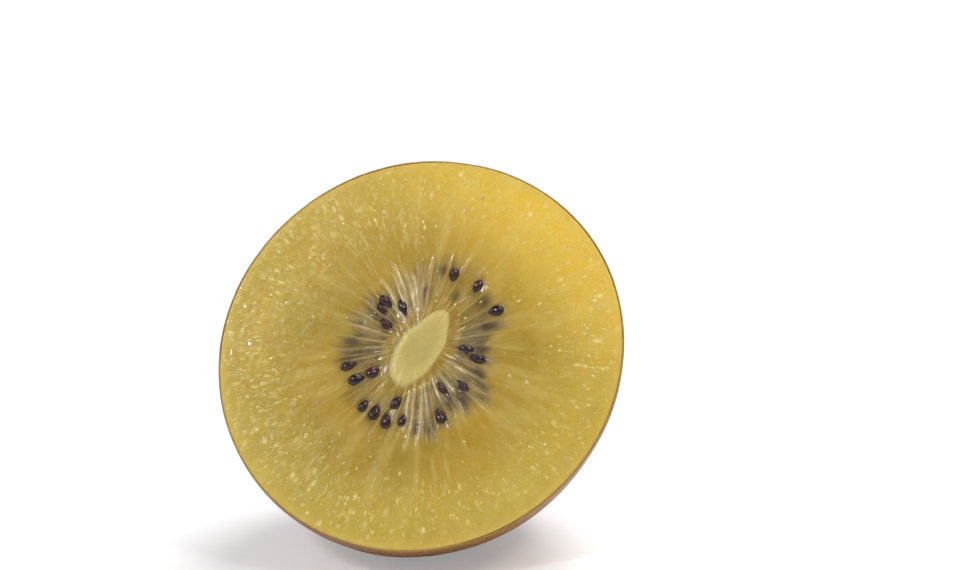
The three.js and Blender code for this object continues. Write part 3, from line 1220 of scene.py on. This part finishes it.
def fibreMaterial():
    made, tree, shader, where = startMaterial("fibre")
    fine = grainsOf(tree, where, fibres["grain"])["fine"]
    # the lighter of the two colours is partly a painted highlight along the fibres
    colour = mixed(tree, fine["Tone"], fibres["colour"], fibres["dull"])
    dress(tree, shader, colour, toneTo(tree, fine["Tone"], fibres["roughness"]), fibres["shader"])
    addBump(tree, shader, fine["Height"], fibres["bump"])
    return made


def strand(ridge, begin, end, shift, thickness, draw):
    # one tapered thread along a ridge, lumpy and partly sunk in it
    share = np.linspace(0, 1, fibres["rows"] + 2)[1:-1]
    reach = begin + (end - begin) * share
    distance = ridge["first"] + (ridge["last"] - ridge["first"]) * reach
    bend = ridgeBend(ridge, reach) + shift / distance
    x, y = aroundCore(distance, bend)
    spots = facePoints(x, y)
    lumpy = softNoise(spots, 0.5, draw.uniform(0, 50))
    thick = thickness * np.sin(share * math.pi) ** 0.5 * (1 + 0.6 * lumpy)
    z = faceFields(x, y)["relief"] + 0.04 * softNoise(spots, 0.8, draw.uniform(0, 50)) - 0.015
    ring = turns(fibres["around"])
    side = facePoints(-np.sin(bend), np.cos(bend))
    rows = facePoints(x, y, z)[:, None]
    rows = rows + side[:, None] * (np.cos(ring) * fibres["width"])[None, :, None] * thick[:, None, None]
    rows[..., 2] += np.sin(ring) * fibres["height"] * thick[:, None]
    tips = rows.mean(1)[[0, -1]]
    tips[:, 2] -= 0.06
    return toWorld(rows), toWorld(tips[0]), toWorld(tips[1])


def makeFibres():
    draw = random.Random(fibres["drawSeed"])
    bodies = []
    for ridge in placedRidges:
        for _ in range(fibres["perRidge"]):
            begin, length = draw.uniform(*fibres["begin"]), draw.uniform(*fibres["lengths"])
            shift, thickness = swing(draw, fibres["shift"]), draw.uniform(*fibres["thickness"])
            if draw.random() < ridge["strength"]:
                bodies.append(strand(ridge, begin, min(0.98, begin + length), shift, thickness, draw))
    piece = buildPiece("fibres", bodies, fibreMaterial())
    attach(piece, "root")


makeFibres()
print("fibres are built")


# Beads of juice and swollen cells that catch the light, most of them where the flesh is rough

beads = {
    "count": 2600,
    "length": (0.1, 0.34),
    "slim": (0.4, 0.8),
    "height": 0.1,
    "colour": tint(228, 208, 130),
    "clear": tint(204, 180, 96),
    "drawSeed": 9,
    "field": 24,  # they are drawn this far to each side of the cut's middle
    "around": 7,
    "grain": {"tone": (1.2, 0.5)},
    "roughness": (0.12, 0.24),
    "shader": {"Coat Weight": 0.6, "Coat Roughness": 0.04},
}


def beadMaterial():
    made, tree, shader, where = startMaterial("juice bead")
    tone = grainsOf(tree, where, beads["grain"])["tone"]["Tone"]
    colour = mixed(tree, tone, beads["clear"], beads["colour"])
    dress(tree, shader, colour, toneTo(tree, tone, beads["roughness"]), beads["shader"])
    return made


def makeBeads():
    draw = random.Random(beads["drawSeed"])
    bodies = []
    field = beads["field"]
    spots = [(swing(draw, field), swing(draw, field), draw.random()) for _ in range(beads["count"])]
    x, y, chance = (np.array(column) for column in zip(*spots))
    fields = faceFields(x, y)
    toRim = rimDistance(fields["angle"]) - fields["distance"]
    likely = 0.05 * smooth(9, 14, fields["distance"]) + 0.8 * fields["rough"] ** 1.3
    likely = likely * smooth(0.7, 2.2, toRim)
    likely = likely * (1 - fields["pocket"]) * (1 - 0.8 * fields["locule"])
    ring = turns(beads["around"])
    turn = np.linspace(0, math.pi, beads["around"])[1:-1, None]
    shortest, longest = beads["length"]
    for index in np.flatnonzero((chance < likely) & (toRim > 0.8)):
        long = shortest + (longest - shortest) * draw.random() ** 2
        wide = long * draw.uniform(*beads["slim"])
        heading = fields["angle"][index] + swing(draw, 0.4)
        along = -np.cos(turn) * long + 0 * ring
        across = np.sin(turn) * np.cos(ring) * wide
        up = np.sin(turn) * np.sin(ring) * beads["height"] * min(1, wide / 0.12)
        sunk = fields["relief"][index] - 0.02
        rows = facePoints(x[index] + along * math.cos(heading) - across * math.sin(heading),
                          y[index] + along * math.sin(heading) + across * math.cos(heading), sunk + up)
        tip = np.array((math.cos(heading) * long, math.sin(heading) * long, 0))
        middle = np.array((x[index], y[index], sunk))
        bodies.append((toWorld(rows), toWorld(middle - tip), toWorld(middle + tip)))
    print(len(bodies), "beads")
    piece = buildPiece("juice_beads", bodies, beadMaterial())
    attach(piece, "root")


makeBeads()
print("beads are built")


# Stem scar

scar = {
    "collar": (
        (0.5, 0.18), (1.6, 0.18), (2.5, 0.2), (3.05, 0.32), (3.5, 0.52), (3.95, 0.64),
        (4.4, 0.56), (4.75, 0.36), (5.0, 0.1), (4.95, -0.12), (4.3, -0.3), (2.0, -0.4),
    ),  # radius and height of the woody ring, from the middle over its crest and back below
    "stub": (
        (1.0, 0.2), (1.1, -0.1), (0.96, -0.45), (0.9, -0.85), (0.8, -1.1), (0.55, -1.22), (0.25, -1.1),
    ),
    "stubRadius": 1.9,
    "sepals": 7,
    "sepalStart": (2.5, 2.8),  # distance from the axis
    "sepalLength": (1.6, 2.4),
    "sepalHalfWidth": 0.75,
    "sepalThickness": 0.13,
    "drawSeed": 3,
    "wood": tint(164, 132, 96),
    "bark": tint(112, 82, 56),
    "dark": tint(44, 28, 20),
    "grain": {"blotch": (1.4, 0.6), "fine": (0.3, 0.7)},
    "roughness": (0.65, 0.9),
    "bump": 0.12,
    "shader": {"Specular IOR Level": 0.3},
}


def scarMaterial():
    made, tree, shader, where = startMaterial("stem scar")
    grain = grainsOf(tree, where, scar["grain"])
    blotch, fine = grain["blotch"], grain["fine"]
    colour = layered(
        tree, mixed(tree, blotch["Tone"], scar["bark"], scar["wood"]),
        (fine["Tone"], 0.4, scar["bark"]),
        (painted(tree, "hollow"), 1, scar["dark"]),
    )
    dress(tree, shader, colour, toneTo(tree, fine["Tone"], scar["roughness"]), scar["shader"])
    addBump(tree, shader, maths(tree, "ADD", fine["Height"], blotch["Height"]), scar["bump"])
    return made


def surfaceAlong(distance):
    # how far along the axis the skin lies, at a distance from the axis near the stem end
    table = outline(np.linspace(0, 0.6, 400))
    return np.interp(distance, table[:, 0], table[:, 1])


def collarBody():
    # a ragged woody ring round a dark hollow
    ring = turns(120)
    circle = facePoints(np.cos(ring), np.sin(ring))
    lobes = 0.07 * np.cos(6 * ring + 0.8 * np.sin(2 * ring)) + 0.05 * softNoise(circle, 0.3, 4.0)
    worn = np.clip(0.8 + 1.0 * softNoise(circle, 0.6, 8.0), 0.3, 1.15)
    rows, hollow = [], []
    for radius, height in scar["collar"]:
        reach = radius * (1 + lobes * float(smooth(2, 4.5, radius)))
        raised = height * (worn if height > 0.3 else 1 + 0 * ring)
        row = facePoints(reach * np.cos(ring), reach * np.sin(ring), surfaceAlong(reach) - raised)
        jagged = 0.09 * softNoise(row, 0.55, 3.0) * float(smooth(0.1, 0.3, height))
        row[:, 2] -= jagged
        rows.append(row)
        hollow.append(1 - 0.9 * smooth(0.16, 0.46, raised) + 0 * ring)
    first = np.array((0, 0, surfaceAlong(0.0)))
    last = np.array((0, 0, surfaceAlong(0.0) + 0.5))
    return (toWorld(np.array(rows)), toWorld(first), toWorld(last)), np.append(np.array(hollow), (1, 1))


def sepalBody(angle, draw):
    # a dry broken bit that starts on the ring and curls up or down
    ring = turns(12)
    share = np.linspace(0, 1, 14)[1:-1, None]
    start, length = draw.uniform(*scar["sepalStart"]), draw.uniform(*scar["sepalLength"])
    distance = start + length * share
    taper = np.sin(share * math.pi * 0.9 + 0.2) ** 0.6
    halfWidth = scar["sepalHalfWidth"] * draw.uniform(0.7, 1.2) * taper
    across = halfWidth * np.cos(ring)
    thick = scar["sepalThickness"] * np.sin(ring) * np.sin(share * math.pi) ** 0.3
    lift = 0.12 + 0.75 * smooth(0, 0.65, share) + swing(draw, 0.5) * share**2
    twist = swing(draw, 0.35)
    x = distance * math.cos(angle) - across * math.sin(angle)
    y = distance * math.sin(angle) + across * math.cos(angle)
    z = surfaceAlong(np.hypot(x, y)) - lift - thick - twist * across * share
    rows = facePoints(x, y, z)
    rows = rows + 0.09 * softNoise(rows, 0.5, draw.uniform(0, 40))[..., None]
    outward = np.array((math.cos(angle), math.sin(angle), 0))
    first = rows[0].mean(0) - 0.15 * outward
    last = rows[-1].mean(0) + 0.2 * outward
    return toWorld(rows), toWorld(first), toWorld(last)


def stubBody():
    ring = turns(48)
    foot = float(surfaceAlong(0.0)) - 0.1
    rows = []
    for radius, height in scar["stub"]:
        wave = 1 + 0.08 * np.sin(5 * ring) + 0.05 * np.sin(11 * ring + 1)
        reach = radius * scar["stubRadius"] * wave
        z = foot + height + 0.06 * np.cos(9 * ring)
        rows.append(facePoints(reach * np.cos(ring), reach * np.sin(ring), z))
    rows = np.array(rows)
    rows = rows + 0.1 * softNoise(rows, 0.6)[..., None]
    return toWorld(rows), toWorld(np.array((0, 0, foot + 0.25))), toWorld(np.array((0, 0, foot - 0.95)))


def makeScar():
    draw = random.Random(scar["drawSeed"])
    collar, hollow = collarBody()
    bodies, shades = [collar], [hollow]
    for index in range(scar["sepals"]):
        angle = (index + swing(draw, 0.4)) * 2 * math.pi / scar["sepals"]
        bodies.append(sepalBody(angle, draw))
    bodies.append(stubBody())
    for rows, _, _ in bodies[1:]:
        shades.append(np.full(rows.shape[0] * rows.shape[1] + 2, 0.12))
    piece = buildPiece("stem_end", bodies, scarMaterial())
    paint(piece, "hollow", np.concatenate(shades))
    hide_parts("stem_scar")
    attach(piece, "root")


makeScar()
print("stem scar is built")


# Table

table = {
    "radius": 6,
    "colour": (0.88, 0.9, 0.93, 1),
    "glow": (0.3, 0.8),  # near the part and far away, so that the table stays white to its edge
    "glowFrom": (0.12, 1.0),
    "glowOnPart": 0.05,
    "grain": {"wide": (60.0, 0.5)},
    "roughness": (0.22, 0.26),
}


def tableMaterial():
    made, tree, shader, where = startMaterial("table")
    tone = grainsOf(tree, where, table["grain"])["wide"]["Tone"]
    away = place(tree, "VectorMath", {0: where}, operation="LENGTH").outputs["Value"]
    glow = stretch(tree, away, *table["glowFrom"], *table["glow"])
    grey = place(tree, "CombineColor", {0: glow, 1: glow, 2: glow}).outputs[0]
    # its glow is for the camera, and only a little of it lights the part from below
    seen = place(tree, "LightPath").outputs["Is Camera Ray"]
    fill(tree, shader, {
        "Base Color": table["colour"],
        "Specular IOR Level": 0.4,
        "Roughness": toneTo(tree, tone, table["roughness"]),
        "Emission Color": grey,
        "Emission Strength": toneTo(tree, seen, (table["glowOnPart"], 1.0)),
    })
    return made


def makeTable():
    work = bmesh.new()
    bmesh.ops.create_circle(work, cap_ends=True, segments=96, radius=table["radius"])
    mesh = bpy.data.meshes.new("table")
    work.to_mesh(mesh)
    work.free()
    mesh.materials.append(tableMaterial())
    made = bpy.data.objects.new("table", mesh)
    bpy.context.scene.collection.objects.link(made)


makeTable()

print("all pieces are in place")
